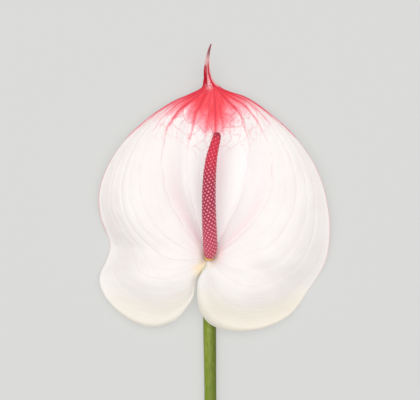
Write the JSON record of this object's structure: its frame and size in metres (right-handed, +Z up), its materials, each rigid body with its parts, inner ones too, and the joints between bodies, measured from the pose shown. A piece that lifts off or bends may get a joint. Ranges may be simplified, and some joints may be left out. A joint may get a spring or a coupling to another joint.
{
  "type": "cut anthurium",
  "caption": "Cut anthurium flower lying face up: a broad heart-shaped spathe with a rolled tail, a leaning spadix and a bare stem with a flat cut end.",
  "frame": {"origin": "centre of the flower's bounding box on the surface it lies on", "axes": "+Y from the cut end of the stem to the tip of the spathe's tail, +Z up out of the face of the spathe, +X to the right seen from above"},
  "size_m": [0.1204, 0.3624, 0.0243],
  "materials": {
    "stem": "satin",
    "spathe": "gloss",
    "stipe": "satin",
    "spadix": "satin"
  },
  "bodies": {
    "root": {"stem": "stem", "spathe": "spathe", "stipe": "stipe", "spadix": "spadix"}
  },
  "joints": []
}
